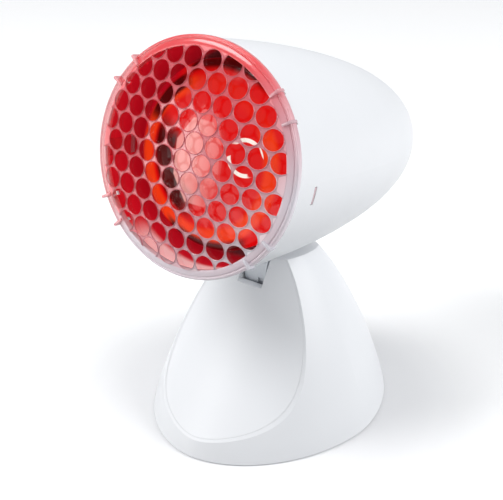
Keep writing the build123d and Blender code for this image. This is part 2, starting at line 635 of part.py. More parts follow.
with BuildPart() as head_shell:
    add(shell_outside)
    add(shell_inside, mode=Mode.SUBTRACT)
    # bosses for the lampholder's bracket
    with BuildPart(mode=Mode.PRIVATE) as bosses:
        with Locations(head_plane(BRACKET_BACK)):
            with Locations(*[(x, 0) for x in BRACKET_SCREWS]):
                Cylinder(BRACKET_BOSS, HEAD_RADIUS, align=under_face)
        add(bullet(WALL / 2, -1), mode=Mode.INTERSECT)
    add(bosses.part)
    with Locations(head_plane(BRACKET_BACK)):
        with Locations(*[(x, 0) for x in BRACKET_SCREWS]):
            Cylinder(SCREW_RADIUS, BRACKET_SCREW + GAP, align=under_face, mode=Mode.SUBTRACT)
    # latch windows for the grille's hooks, and notches in the rim for its ribs
    with Locations(head_plane(CLIP_DEPTH)):
        for angle in CLIP_ANGLES:
            with PolarLocations(HEAD_RADIUS, 1, start_angle=angle):
                Box(12, CLIP_WIDTH, WINDOW_HEIGHT, mode=Mode.SUBTRACT)
    with Locations(head_plane(0)):
        for angle in RIB_ANGLES:
            with PolarLocations(HEAD_RADIUS, 1, start_angle=angle):
                Box(4 * WALL, RIB_WIDTH + 2 * GAP, 2 * (RIB_FOOT + GAP), mode=Mode.SUBTRACT)
    add(knuckle_body(GAP / 2), mode=Mode.SUBTRACT)
    with Locations(*knuckle_screw_seats()):
        Cylinder(SCREW_RADIUS, KNUCKLE_SCREW + GAP, align=under_face, mode=Mode.SUBTRACT)
keep(head_shell.part, "head_shell")

# ---------------------------------------------------------------- tilt knuckle
with BuildPart() as tilt_knuckle:
    add(knuckle_body(0))
    with BuildPart(mode=Mode.PRIVATE) as flange:
        with Locations((0, PIVOT_Y, PIVOT_Z)):
            Box(FLANGE_WIDTH, FLANGE_LENGTH, HEAD_RADIUS, align=on_face)
        add(bullet(WALL + 0.05, -1), mode=Mode.INTERSECT)
    add(flange.part)
    add(bullet(WALL + FLANGE_THICK, -1), mode=Mode.SUBTRACT)
    with Locations(PIVOT):
        Cylinder(PIN_RADIUS + RUNNING - PIN_UNDERSIZE, 4 * DRUM_WIDTH, rotation=(0, 90, 0),
                 mode=Mode.SUBTRACT)
    with BuildSketch(SIDE.offset(NOTCH_X)):
        for stop in range(DETENT_COUNT):
            angle = 180 + DETENT_ANGLE + (stop - (DETENT_COUNT - 1) / 2) * DETENT_STEP
            with Locations(about_pivot(angle, DRUM_RADIUS)):
                Circle(NOTCH_RADIUS)
    extrude(amount=NOTCH_WIDTH / 2, both=True, mode=Mode.SUBTRACT)
    with Locations(*knuckle_screw_seats()):
        Cylinder(SCREW_RADIUS, 4 * FLANGE_THICK, mode=Mode.SUBTRACT)
        Cylinder(SCREW_HEAD_RADIUS + 2 * RUNNING, 2 * FLANGE_THICK, align=on_face, mode=Mode.SUBTRACT)
keep(tilt_knuckle.part, "tilt_knuckle")

with BuildPart() as knuckle_screws:
    with Locations(*knuckle_screw_seats()):
        add(screw(KNUCKLE_SCREW))
keep(knuckle_screws.part, "knuckle_screws")

# ---------------------------------------------------------------- grille
CLIP_RADIUS = head_radius(CLIP_DEPTH + 5, WALL) - 2 * GAP


def dome(rise, radius, sag):
    """Depth of a dome's edge and middle, as three points of its arc."""
    half = radius / 2
    bend = (radius ** 2 + sag ** 2) / (2 * sag)
    return (0, rise + sag), (half, rise + sag - bend + sqrt(bend ** 2 - half ** 2)), (radius, rise)


with BuildPart() as grille:
    with BuildSketch(HEAD_PROFILE):
        with BuildLine():
            back_rise = GRILLE_RIM_RISE - GRILLE_DEPTH
            ThreePointArc(*dome(GRILLE_RIM_RISE, GRILLE_FACE_RADIUS, GRILLE_DOME))
            Polyline((GRILLE_FACE_RADIUS, GRILLE_RIM_RISE), (GRILLE_FACE_RADIUS + 1.4, GRILLE_RIM_RISE),
                     (GRILLE_FACE_RADIUS + 1.9, GRILLE_FLANGE), (GRILLE_RADIUS - 0.8, GRILLE_FLANGE),
                     (GRILLE_RADIUS, GRILLE_FLANGE - 0.8), (GRILLE_RADIUS, GAP / 2),
                     (GRILLE_FACE_RADIUS, GAP / 2), (GRILLE_FACE_RADIUS, back_rise))
            ThreePointArc(*dome(back_rise, GRILLE_FACE_RADIUS, GRILLE_DOME))
            Line((0, back_rise + GRILLE_DOME), (0, GRILLE_RIM_RISE + GRILLE_DOME))
        make_face()
    revolve(axis=HEAD_AXIS)
    # honeycomb of round holes, cut off at the rim
    with BuildSketch(head_plane(0)):
        for row in range(-HOLE_ROWS, HOLE_ROWS + 1):
            for place in range(-HOLE_ROWS, HOLE_ROWS + 1):
                x = (place + (row % 2) / 2) * HOLE_PITCH
                y = row * HOLE_PITCH * sqrt(3) / 2
                reach = sqrt(x ** 2 + y ** 2)
                if reach < 5.05 * HOLE_PITCH and not (row == 0 and abs(place) == HOLE_ROWS):
                    with Locations((x, y)):
                        Circle(HOLE_RADIUS)
        Circle(GRILLE_FACE_RADIUS - 0.4, mode=Mode.INTERSECT)
    extrude(amount=20, mode=Mode.SUBTRACT)
    with Locations(head_plane(0)):
        for angle in CLIP_ANGLES:
            with PolarLocations(CLIP_RADIUS, 1, start_angle=angle):
                with Locations((0, 0, 3)):
                    Box(CLIP_THICK, CLIP_WIDTH - 2 * GAP, CLIP_DEPTH + 5,
                        align=(Align.MAX, Align.CENTER, Align.MAX))
                with Locations((0, 0, -CLIP_DEPTH)):
                    Box(WALL + GAP, CLIP_WIDTH - 2 * GAP, WINDOW_HEIGHT - 2 * GAP,
                        align=(Align.MIN, Align.CENTER, Align.CENTER))
        for angle in RIB_ANGLES:
            with PolarLocations(GRILLE_FACE_RADIUS + RIB_START, 1, start_angle=angle):
                Box(RIB_REACH, RIB_WIDTH, GRILLE_FLANGE + 2, align=(Align.MIN, Align.CENTER, Align.MIN))
                Box(HEAD_RADIUS - GRILLE_FACE_RADIUS - RIB_START, RIB_WIDTH, RIB_FOOT,
                    align=(Align.MIN, Align.CENTER, Align.MAX))
keep(grille.part, "grille")

# ---------------------------------------------------------------- bulb
SKIRT_END = BULB_FRONT + LENS_DOME + LENS_RIM


def reflector_radius(depth, inset=0.0):
    """The reflector's outline: its square falls evenly with depth."""
    along = (depth - SKIRT_END) / (REFLECTOR_END - SKIRT_END)
    outer, neck = BULB_RADIUS - inset, REFLECTOR_NECK - inset
    return sqrt(outer ** 2 + (neck ** 2 - outer ** 2) * along)


with BuildPart() as bulb_lens:
    with BuildSketch(HEAD_PROFILE):
        with BuildLine():
            front = -BULB_FRONT - LENS_DOME
            ThreePointArc(*dome(front, BULB_RADIUS - 3, LENS_DOME))
            shoulder = (BULB_RADIUS, front - 4)
            ThreePointArc((BULB_RADIUS - 3, front), (BULB_RADIUS - 0.9, front - 1.2), shoulder)
            Polyline(shoulder, (BULB_RADIUS, -SKIRT_END), (BULB_RADIUS - GLASS, -SKIRT_END),
                     (BULB_RADIUS - GLASS, front - 4), (BULB_RADIUS - 4, front - 3))
            ThreePointArc(*dome(front - 3, BULB_RADIUS - 4, LENS_DOME))
            Line((0, front - 3 + LENS_DOME), (0, front + LENS_DOME))
        make_face()
    revolve(axis=HEAD_AXIS)
keep(bulb_lens.part, "bulb_lens")

with BuildPart() as bulb_reflector:
    with BuildSketch(HEAD_PROFILE):
        with BuildLine():
            depths = [SKIRT_END + (REFLECTOR_END - SKIRT_END) * i / 6 for i in range(7)]
            Spline(*[(reflector_radius(d), -d) for d in depths])
            Line((REFLECTOR_NECK, -REFLECTOR_END), (REFLECTOR_NECK - GLASS, -REFLECTOR_END))
            Spline(*[(reflector_radius(d, GLASS), -d) for d in reversed(depths)])
            Line((BULB_RADIUS - GLASS, -SKIRT_END), (BULB_RADIUS, -SKIRT_END))
        make_face()
    revolve(axis=HEAD_AXIS)
keep(bulb_reflector.part, "bulb_reflector")

CAP_FRONT = REFLECTOR_END
CAP_BACK = CAP_FRONT + CAP_LENGTH
keep(turned((0, CAP_FRONT), (REFLECTOR_NECK + 1, CAP_FRONT), (REFLECTOR_NECK + 1, CAP_FRONT + 2),
            (CAP_RADIUS, CAP_FRONT + 5), (CAP_RADIUS, CAP_BACK - 3), (7, CAP_BACK), (0, CAP_BACK))
     - turned((0, CAP_FRONT - 1), (CAP_RADIUS - 1, CAP_FRONT - 1), (CAP_RADIUS - 1, CAP_BACK - 4),
              (6, CAP_BACK - 1), (0, CAP_BACK - 1)), "bulb_cap")
keep(turned((0, CAP_BACK), (7, CAP_BACK), (5, CAP_BACK + 2), (0, CAP_BACK + 2)), "bulb_contact")

STEM_FRONT = CAP_FRONT - 20
FILAMENT_DEPTH = CAP_FRONT - 43
FILAMENT_SPAN = 7.7         # half the distance between its ends
FILAMENT_COIL = 0.9
WIRE_SPREAD = 1.5           # half the distance between the support wires at their roots
with BuildPart() as bulb_stem:
    add(turned((0, STEM_FRONT), (3, STEM_FRONT), (5.5, CAP_FRONT - 4), (CAP_RADIUS - 1.2, CAP_FRONT + 1),
               (CAP_RADIUS - 1.2, CAP_FRONT + 3), (0, CAP_FRONT + 3)))
    # two wires lean outwards and carry the filament's ends
    rise = STEM_FRONT + 1 - FILAMENT_DEPTH - FILAMENT_COIL - 0.1
    for side in (-1, 1):
        root = RING_CENTRE - FORWARD * (STEM_FRONT + 1) + Vector(side * WIRE_SPREAD, 0, 0)
        wire = FORWARD * rise + Vector(side * (FILAMENT_SPAN - WIRE_SPREAD), 0, 0)
        with BuildSketch(Plane(root, x_dir=(0, -FORWARD.Z, FORWARD.Y), z_dir=wire)):
            Circle(0.5)
        extrude(amount=wire.length)
keep(bulb_stem.part, "bulb_stem")

with BuildPart() as filament:
    with BuildLine(head_plane(FILAMENT_DEPTH)) as coil:
        ThreePointArc((-FILAMENT_SPAN, 0), (0, FILAMENT_SPAN), (FILAMENT_SPAN, 0))
    with BuildSketch(Plane(coil.line @ 0, z_dir=coil.line % 0)):
        Circle(FILAMENT_COIL)
    sweep(path=coil.line)
keep(filament.part, "filament")

# ---------------------------------------------------------------- lampholder
BORE = CAP_RADIUS + 1.3
NIPPLE_RADIUS = 5.0
NIPPLE_BORE = NIPPLE_RADIUS + 0.2
NIPPLE_INNER = 3.6
NIPPLE_HALF = 7.0
with BuildPart() as lampholder:
    add(turned((BORE, CAP_FRONT + 7), (BORE + 2.5, CAP_FRONT + 2.5), (HOLDER_RADIUS - 1, CAP_FRONT + 2.5),
               (HOLDER_RADIUS, CAP_FRONT + 3.5), (HOLDER_RADIUS, HOLDER_BACK - 16),
               (HOLDER_RADIUS - 4, HOLDER_BACK - 12), (HOLDER_RADIUS - 4, HOLDER_BACK),
               (NIPPLE_BORE, HOLDER_BACK), (NIPPLE_BORE, HOLDER_BACK - 3.5), (BORE, HOLDER_BACK - 3.5)))
    add(turned((NIPPLE_BORE, CAP_BACK + 5), (BORE + 1, CAP_BACK + 5), (BORE + 1, CAP_BACK + 8),
               (NIPPLE_BORE, CAP_BACK + 8)))
keep(lampholder.part, "lampholder")
keep(turned((CAP_RADIUS + 0.3, CAP_FRONT + 6.5), (BORE, CAP_FRONT + 6.5), (BORE, CAP_BACK + 2),
            (CAP_RADIUS + 0.3, CAP_BACK + 2)), "lampholder_thread")

with BuildPart() as lampholder_contact:
    with Locations(head_plane(CAP_BACK + 2.3)):
        Box(6, 16, 0.6, align=(Align.CENTER, Align.CENTER, Align.MAX))
        with Locations((0, 7.7, 0)):
            Box(6, 0.6, 2.7, align=(Align.CENTER, Align.CENTER, Align.MAX))
keep(lampholder_contact.part, "lampholder_contact")

with BuildPart() as lampholder_bracket:
    with BuildSketch(head_plane(BRACKET_BACK)):
        SlotOverall(2 * BRACKET_HALF, BRACKET_WIDTH)
        Circle(HOLDER_RADIUS - 6)
        Circle(NIPPLE_BORE + 0.1, mode=Mode.SUBTRACT)
        with Locations(*[(x, 0) for x in BRACKET_SCREWS]):
            Circle(SCREW_RADIUS + 0.1, mode=Mode.SUBTRACT)
    extrude(amount=BRACKET_THICK)
keep(lampholder_bracket.part, "lampholder_bracket")

with BuildPart() as holder_nipple:
    add(turned((NIPPLE_INNER, HOLDER_BACK - NIPPLE_HALF), (NIPPLE_RADIUS, HOLDER_BACK - NIPPLE_HALF),
               (NIPPLE_RADIUS, HOLDER_BACK + NIPPLE_HALF), (NIPPLE_INNER, HOLDER_BACK + NIPPLE_HALF)))
    with BuildSketch(head_plane(BRACKET_BACK)):
        RegularPolygon(NIPPLE_RADIUS + 3, 6)
        Circle(NIPPLE_INNER + 0.1, mode=Mode.SUBTRACT)
    extrude(amount=-3)
keep(holder_nipple.part, "holder_nipple")

with BuildPart() as bracket_screws:
    with Locations(head_plane(BRACKET_FRONT)):
        with Locations(*[(x, 0) for x in BRACKET_SCREWS]):
            add(screw(BRACKET_SCREW))
keep(bracket_screws.part, "bracket_screws")

SHIELD_RADIUS = HOLDER_RADIUS + 3.2
SHIELD_REACH = 17.0         # the shield's front flares out by this much
SHIELD_FRONT = HOLDER_FRONT - 14
keep(turned((NIPPLE_BORE, HOLDER_BACK), (SHIELD_RADIUS, HOLDER_BACK), (SHIELD_RADIUS, HOLDER_FRONT - 4),
            (SHIELD_RADIUS + SHIELD_REACH, SHIELD_FRONT),
            (SHIELD_RADIUS + SHIELD_REACH + 0.5, SHIELD_FRONT + 0.8),
            (SHIELD_RADIUS + SHIELD_THICK, HOLDER_FRONT - 3.4),
            (SHIELD_RADIUS + SHIELD_THICK, BRACKET_FRONT), (NIPPLE_BORE, BRACKET_FRONT)), "heat_shield")
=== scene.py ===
# %% [markdown]
# # An infrared heat lamp around its packed frame
# The solids arrive from the packed model and stay where they are. This lesson gives them their
# finishes, builds the honeycomb grille and the red bulb again with softer forms than a solid has,
# and sets up a plain studio.

# %% Load the frame
import json
from math import cos, degrees, pi, radians, sin, sqrt

import bmesh
import bpy
from mathutils import Matrix, Vector


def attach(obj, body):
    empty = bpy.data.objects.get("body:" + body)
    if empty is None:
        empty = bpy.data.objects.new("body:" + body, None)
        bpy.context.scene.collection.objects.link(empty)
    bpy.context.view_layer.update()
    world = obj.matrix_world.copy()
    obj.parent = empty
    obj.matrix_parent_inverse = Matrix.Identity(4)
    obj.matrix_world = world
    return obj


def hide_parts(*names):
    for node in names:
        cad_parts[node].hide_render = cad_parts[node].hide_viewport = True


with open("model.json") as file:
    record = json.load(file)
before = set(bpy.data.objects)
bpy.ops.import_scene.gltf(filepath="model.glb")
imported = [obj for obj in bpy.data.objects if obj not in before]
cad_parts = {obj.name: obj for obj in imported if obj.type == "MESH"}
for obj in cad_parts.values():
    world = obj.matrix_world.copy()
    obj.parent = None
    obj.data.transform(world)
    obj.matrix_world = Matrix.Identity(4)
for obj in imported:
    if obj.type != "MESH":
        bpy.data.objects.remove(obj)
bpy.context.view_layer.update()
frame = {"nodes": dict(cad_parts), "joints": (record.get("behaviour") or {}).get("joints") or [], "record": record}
nodes = frame["nodes"]
scene = bpy.context.scene

# %% [markdown]
# ## The head's own axes
# Everything in the head is turned about one line, so those pieces are drawn in axes of their own:
# local Z points out of the lamp, local Y up across the grille, and one unit is a millimetre. One
# matrix then puts them in place. Its corner is the middle of the ring where grille and shell meet,
# found from the tilting pin. Drawing them in the world's axes would put the tilt into every number.

# %% Head axes
MM = 0.001
TILT = radians(14.5)
RING_FROM_PIN = Vector((0, -67.2, 86.5))
RING = Vector(frame["joints"][0]["pos_m"]) + RING_FROM_PIN * MM
FORWARD = Vector((0, -cos(TILT), sin(TILT)))
UPWARD = Vector((0, sin(TILT), cos(TILT)))
TURN = Matrix(((1, 0, 0), (0, UPWARD.y, FORWARD.y), (0, UPWARD.z, FORWARD.z))).to_4x4()
HEAD = Matrix.Translation(RING) @ TURN @ Matrix.Scale(MM, 4)
print("the ring's middle:", [round(v, 4) for v in RING])

# %% [markdown]
# ## Camera
# A long lens from the right and above, as in a catalogue picture. A long lens keeps the grille's
# near and far edges close to the same size.

# %% Camera
AZIMUTH, ELEVATION = radians(35.0), radians(27.5)
FOCAL_LENGTH, SENSOR_WIDTH = 85.88, 36
lens = bpy.data.cameras.new("camera")
lens.lens = FOCAL_LENGTH
lens.sensor_width = SENSOR_WIDTH
camera = bpy.data.objects.new("camera", lens)
camera.location = (0.3320, -0.51275, 0.4037)
camera.rotation_euler = (pi / 2 - ELEVATION, 0, AZIMUTH)
scene.collection.objects.link(camera)
scene.camera = camera
print("camera at", [round(v, 3) for v in camera.location])

# %% [markdown]
# ## Shader maths as Python
# Most finishes here are worked out from a point's place, which takes a good many Math nodes. A
# small class wraps a socket, so that a mask can be written as an expression: each operator adds
# a node or two. Placing and linking the nodes one by one would hide what they work out.


# %% Shader expressions
class Wire:
    """A socket that takes part in Python arithmetic."""

    def __init__(self, tree, socket):
        self.tree, self.socket = tree, socket

    def maths(self, operation, *others):
        made = self.tree.nodes.new("ShaderNodeMath")
        made.operation = operation
        for index, value in enumerate((self, *others)):
            plug(self.tree, made.inputs[index], value)
        return Wire(self.tree, made.outputs[0])

    def __add__(self, other):
        return self.maths("ADD", other)

    def __sub__(self, other):
        return self.maths("SUBTRACT", other)

    def __mul__(self, other):
        return self.maths("MULTIPLY", other)

    def __truediv__(self, other):
        return self.maths("DIVIDE", other)

    def __rsub__(self, other):
        return (self * -1) + other

    __radd__, __rmul__ = __add__, __mul__

    def ramp(self, low, high):
        """0 below low, 1 above high, and smooth in between."""
        made = self.tree.nodes.new("ShaderNodeMapRange")
        made.interpolation_type = "SMOOTHSTEP"
        for index, value in enumerate((self, low, high)):
            plug(self.tree, made.inputs[index], value)
        return Wire(self.tree, made.outputs[0])


def plug(tree, socket, value):
    """Feeds a socket with a wire or a plain value."""
    if isinstance(value, Wire):
        tree.links.new(value.socket, socket)
    else:
        socket.default_value = value


print("a wire knows:", [name for name in vars(Wire) if not name.startswith("__")])

# %% [markdown]
# ## Materials and their nodes
# A material here is one Principled shader, whose sockets are fed by noise and by masks. All of them
# read the object's own coordinates, so a finish stays on its piece when the piece moves.


# %% Materials and nodes
OBJECT_PLACE = 3                # the outlet of a Texture Coordinate node with the object's axes
FIRST, SECOND, BLENDED = 6, 7, 2  # the colours among a Mix node's inlets, and among its outlets


def node(tree, kind, outlet=0, **sockets):
    """Any node by its type, with its sockets by name, where _ stands for a space."""
    made = tree.nodes.new(kind)
    for name, value in sockets.items():
        plug(tree, made.inputs[name.replace("_", " ")], value)
    return Wire(tree, made.outputs[outlet])


def shader(name, **sockets):
    """A material with one Principled shader; returns the material, its tree and that shader."""
    material = bpy.data.materials.new(name)
    material.use_nodes = True
    principled = material.node_tree.nodes["Principled BSDF"]
    for key, value in sockets.items():
        principled.inputs[key.replace("_", " ")].default_value = value
    return material, material.node_tree, principled


def place(tree):
    """A point of the surface in the object's own axes, in metres."""
    return node(tree, "ShaderNodeTexCoord", outlet=OBJECT_PLACE)


def squeezed(tree, squeeze):
    """The same, scaled along each axis; noise that reads it is squeezed by as much."""
    return node(tree, "ShaderNodeMapping", Vector=place(tree), Scale=squeeze)


def noise(tree, scale, detail=2.0, vector=None):
    """Cloudy noise between 0 and 1."""
    return node(tree, "ShaderNodeTexNoise", Vector=vector or place(tree), Scale=scale,
                Detail=detail)


def blend_colours(tree, factor, first, second):
    """One colour over another, by a mask."""
    made = tree.nodes.new("ShaderNodeMix")
    made.data_type = "RGBA"
    plug(tree, made.inputs[0], factor)
    for inlet, colour in ((FIRST, first), (SECOND, second)):
        plug(tree, made.inputs[inlet], colour if isinstance(colour, Wire) else (*colour, 1))
    return Wire(tree, made.outputs[BLENDED])


def bumpy(tree, principled, height, strength, distance=0.0002):
    """Small bumps from a height."""
    plug(tree, principled.inputs["Normal"],
         node(tree, "ShaderNodeBump", Height=height, Strength=strength, Distance=distance))


print("helpers:", [made.__name__ for made in (node, shader, squeezed, noise, blend_colours)])

# %% [markdown]
# ## Moulded plastic
# The housings are injection moulded and satin: no texture that the eye can pick out, but a spark
# eroded grain in the mould that spreads their gloss, and a gloss that changes faintly from place to
# place. Noise does both, coarse for the gloss and very fine for the grain.

# %% Plastics
CLOUD_SCALE, GRAIN_SCALE = 45.0, 2600.0
WHITE = (0.79, 0.80, 0.82)


def plastic(name, colour, roughness, grain=0.02, tint=0.02, coat=0.0):
    """Moulded plastic: a fine grain, a cloudy gloss and a colour that drifts a little."""
    material, tree, principled = shader(name, IOR=1.48, Coat_Weight=coat, Coat_Roughness=0.08)
    cloud = noise(tree, CLOUD_SCALE, 3.0)
    darker = tuple(part * (1 - tint) for part in colour)
    plug(tree, principled.inputs["Base Color"], blend_colours(tree, cloud, colour, darker))
    plug(tree, principled.inputs["Roughness"], cloud * 0.06 + (roughness - 0.03))
    bumpy(tree, principled, noise(tree, GRAIN_SCALE), grain)
    return material


white = plastic("white_plastic", WHITE, 0.34)
grey = plastic("grey_plastic", (0.72, 0.75, 0.79), 0.42, grain=0.05)
black = plastic("black_plastic", (0.02, 0.02, 0.022), 0.42, grain=0.2)
nylon = plastic("nylon", (0.75, 0.73, 0.66), 0.5, grain=0.1)
rubber = plastic("rubber", (0.045, 0.045, 0.048), 0.75, grain=0.5, tint=0.2)
porcelain = plastic("porcelain", (0.78, 0.76, 0.70), 0.15, coat=0.6)
print("plastics:", [made.name for made in (white, grey, black, nylon, rubber, porcelain)])

# %% [markdown]
# ## Metals
# Turned and drawn metal carries fine lines along one direction, cast iron a coarse skin. The lines
# are noise squeezed along one axis by a Mapping node; the same noise makes the gloss uneven.


# %% Metals
def metal(name, colour, roughness, squeeze=(1.0, 1.0, 14.0), strength=0.12, scale=500.0):
    """Bare metal with fine lines, at right angles to the axis along which the noise is squeezed."""
    material, tree, principled = shader(name, Metallic=1.0)
    lines = noise(tree, scale, 3.0, squeezed(tree, squeeze))
    darker = tuple(part * 0.8 for part in colour)
    plug(tree, principled.inputs["Base Color"], blend_colours(tree, lines, colour, darker))
    plug(tree, principled.inputs["Roughness"], lines * 0.16 + (roughness - 0.08))
    bumpy(tree, principled, lines, strength)
    return material


steel = metal("steel", (0.58, 0.58, 0.60), 0.3)
spring_steel = metal("spring_steel", (0.42, 0.43, 0.46), 0.28, squeeze=(14.0, 1.0, 1.0))
brass = metal("brass", (0.78, 0.58, 0.28), 0.26)
aluminium = metal("aluminium", (0.82, 0.82, 0.83), 0.24)
tungsten = metal("tungsten", (0.36, 0.34, 0.33), 0.4, scale=1500.0)
iron = metal("iron", (0.16, 0.15, 0.145), 0.62, squeeze=(1.0, 1.0, 1.0), strength=0.6, scale=160.0)
print("metals:", [made.name for made in (steel, spring_steel, brass, aluminium, tungsten, iron)])

# %% [markdown]
# ## Places on the head
# The lens, the grille and the head's shell all carry colours that depend on where a point lies
# across the lamp's face. Those masks are easiest to write in the head's axes and in millimetres, so
# a point's place is turned into them once, here.


# %% Places on the head
def axes(tree, vector):
    """The three parts of a vector."""
    parts = node(tree, "ShaderNodeSeparateXYZ", Vector=vector).socket.node.outputs
    return [Wire(tree, part) for part in parts]


def head_place(tree):
    """Where a point lies on the head, in mm: right and up across the grille, and outwards."""
    x, y, z = axes(tree, place(tree))
    y, z = y - RING.y, z - RING.z
    up = y * (UPWARD.y / MM) + z * (UPWARD.z / MM)
    out = y * (FORWARD.y / MM) + z * (FORWARD.z / MM)
    return x * (1 / MM), up, out


def reach(x, y, middle=(0.0, 0.0)):
    """Distance of a point from a middle, in a plane."""
    x, y = x - middle[0], y - middle[1]
    return (x * x + y * y).maths("SQRT")


def band(distance, middle, half, soft):
    """A mask that is 1 within half of a middle, and fades over soft beyond it."""
    return 1 - (distance - middle).maths("ABSOLUTE").ramp(half, half + soft)


print("the head's axes: up", [round(v, 3) for v in UPWARD], "out", [round(v, 3) for v in FORWARD])

# %% [markdown]
# ## The red lens
# The bulb's lens is ruby glass, lit through from its silvered bowl. Real ruby glass would need many
# bounces of light behind the grille, and come out black. So the lens is a deep red gloss with a
# little light of its own, and the reflections and shade that the bowl throws on it are painted,
# worked out from the place on its face: a painted reflection as a bright orange ring over the
# bowl's waist, weaker above, painted dark reflections as a crescent and a notch on the left, painted
# shade at the ends above and below, and painted crimson light at the far edge.

# %% Bands on the lens
BLACK = (0.0, 0.0, 0.0)
RED, ORANGE, DARK = (0.70, 0.003, 0.003), (0.86, 0.050, 0.006), (0.060, 0.0015, 0.0015)
CRIMSON = (0.45, 0.003, 0.014)
REFLECTED_RING_MIDDLE = (-3.5, -3.0)
ruby, tree, principled = shader("red_glass", IOR=1.35, Coat_Weight=0.28, Coat_Roughness=0.02,
                                Coat_IOR=1.5, Emission_Strength=0.62, Roughness=0.09)
across, up = head_place(tree)[:2]
from_middle = reach(across, up)
lower_left = (across * -0.906 + up * -0.423) / from_middle
upper_left = (across * -0.80 + up * 0.60) / from_middle
above = (up / from_middle).ramp(0.42, 0.66) * across.ramp(-24.0, -10.0)

# painted dark reflections as a crescent and a notch, painted shade at the ends, painted crimson light at the far
# left
reflected_crescent = band(from_middle, middle=29.0, half=5.5, soft=4.0) * lower_left.ramp(0.55, 0.85)
reflected_notch = band(from_middle, middle=41.0, half=2.5, soft=2.0) * upper_left.ramp(0.90, 0.97)
shaded_ends = from_middle.ramp(42.0, 45.5) * (1 - across.maths("ABSOLUTE").ramp(20.0, 27.0))
red_lit_far_left = from_middle.ramp(42.0, 46.0) * (1 - across.ramp(-34.0, -24.0))
streaks = noise(tree, 60.0, 3.0, squeezed(tree, (3.0, 1.0, 0.5)))
# a painted reflection of the bowl's light as a streaky orange ring
reflected_ring = band(reach(across, up, REFLECTED_RING_MIDDLE), middle=38.5, half=2.0, soft=3.5)
reflected_ring = reflected_ring * (0.45 + streaks * 0.9) * (1 - above * 0.85)

colour = blend_colours(tree, red_lit_far_left, RED, CRIMSON)
colour = blend_colours(tree, reflected_ring, colour, ORANGE)
colour = blend_colours(tree, reflected_crescent.maths("MAXIMUM", reflected_notch), colour, DARK)
colour = blend_colours(tree, shaded_ends, colour, DARK)
print("the lens so far:", len(tree.nodes), "nodes")

# %% [markdown]
# A tall eight sided softbox stands in front of the lamp, and its mirror image is a pale patch in the
# middle of the lens, a painted reflection under the real one. A painted highlight, a broken loop of
# white strokes, lies beside it. Both are masks too: the patch is where the largest of a width, a
# height and a slant is below 1, and the strokes are a thin ring that coarse noise breaks up.

# %% Patch and strokes
REFLECTION_PINK, HIGHLIGHT_WHITE = (0.88, 0.38, 0.35), (1.0, 0.95, 0.86)
PATCH_MIDDLE, PATCH_HALF_WIDTH, PATCH_HALF_HEIGHT, CORNER_CUT = (-6.5, -4.5), 15.0, 22.0, 1.42
PATCH_STRENGTH = 0.8
LOOP_MIDDLE = (20.5, 4.0)
wide = (across - PATCH_MIDDLE[0]).maths("ABSOLUTE") / PATCH_HALF_WIDTH
tall = (up - PATCH_MIDDLE[1]).maths("ABSOLUTE") / PATCH_HALF_HEIGHT
eight_sides = wide.maths("MAXIMUM", tall).maths("MAXIMUM", (wide + tall) / CORNER_CUT)
# painted reflection of the softbox, fading towards the right
painted_reflection = (1 - eight_sides.ramp(0.96, 1.02)) * (1 - across.ramp(-17.0, 10.0) * 0.88)
colour = blend_colours(tree, painted_reflection * PATCH_STRENGTH, colour, REFLECTION_PINK)
# painted highlight: a broken loop of white strokes
painted_highlight = band(reach(across, up, LOOP_MIDDLE), middle=8.8, half=0.8, soft=0.4)
painted_highlight = painted_highlight * noise(tree, 95.0, 0.0).ramp(0.46, 0.50)
colour = blend_colours(tree, painted_highlight, colour, HIGHLIGHT_WHITE)

# the lens's own light carries its painted reflections and highlight too
plug(tree, principled.inputs["Base Color"], blend_colours(tree, 0.5, colour, BLACK))
plug(tree, principled.inputs["Emission Color"], colour)
bumpy(tree, principled, noise(tree, 30.0, 1.0), 0.05, 0.002)
print("the finished lens:", len(tree.nodes), "nodes")

# %% [markdown]
# ## Silvered and clear glass
# The bowl behind the lens is glass silvered on its inside, so from outside it is a dull mirror. The
# stem that carries the filament is clear glass. Both sit inside the head, but a finish costs little
# and the lamp can then be shown opened up.

# %% Silvered and clear glass
silver, tree, principled = shader("silvered_glass", Metallic=1.0, Coat_Weight=0.8,
                                  Coat_Roughness=0.03)
mottle = noise(tree, 140.0, 3.0)
plug(tree, principled.inputs["Base Color"],
     blend_colours(tree, mottle, (0.88, 0.84, 0.82), (0.72, 0.66, 0.64)))
plug(tree, principled.inputs["Roughness"], mottle * 0.12 + 0.08)

clear_glass, tree, principled = shader("clear_glass", IOR=1.5, Transmission_Weight=0.95)
plug(tree, principled.inputs["Roughness"], noise(tree, 90.0) * 0.04)
plug(tree, principled.inputs["Base Color"],
     blend_colours(tree, noise(tree, 25.0), (0.96, 0.98, 0.97), (0.90, 0.94, 0.93)))
print("glass:", [made.name for made in (ruby, silver, clear_glass)])

# %% [markdown]
# ## The grille's plastic
# The grille is clear polycarbonate. It gathers the lamp's red and passes it round its walls, so it
# looks milky pink, stronger towards one side, and nearly neutral on the other, where it faces the
# light. That red light is painted, as a gradient over the face and as a painted glow: refraction in a
# honeycomb would be slow and noisy. The webs, the raised rims, the holes' walls, the ribs and the
# clips each get their own share; the rims' darker red is painted shade along the holes' edges.

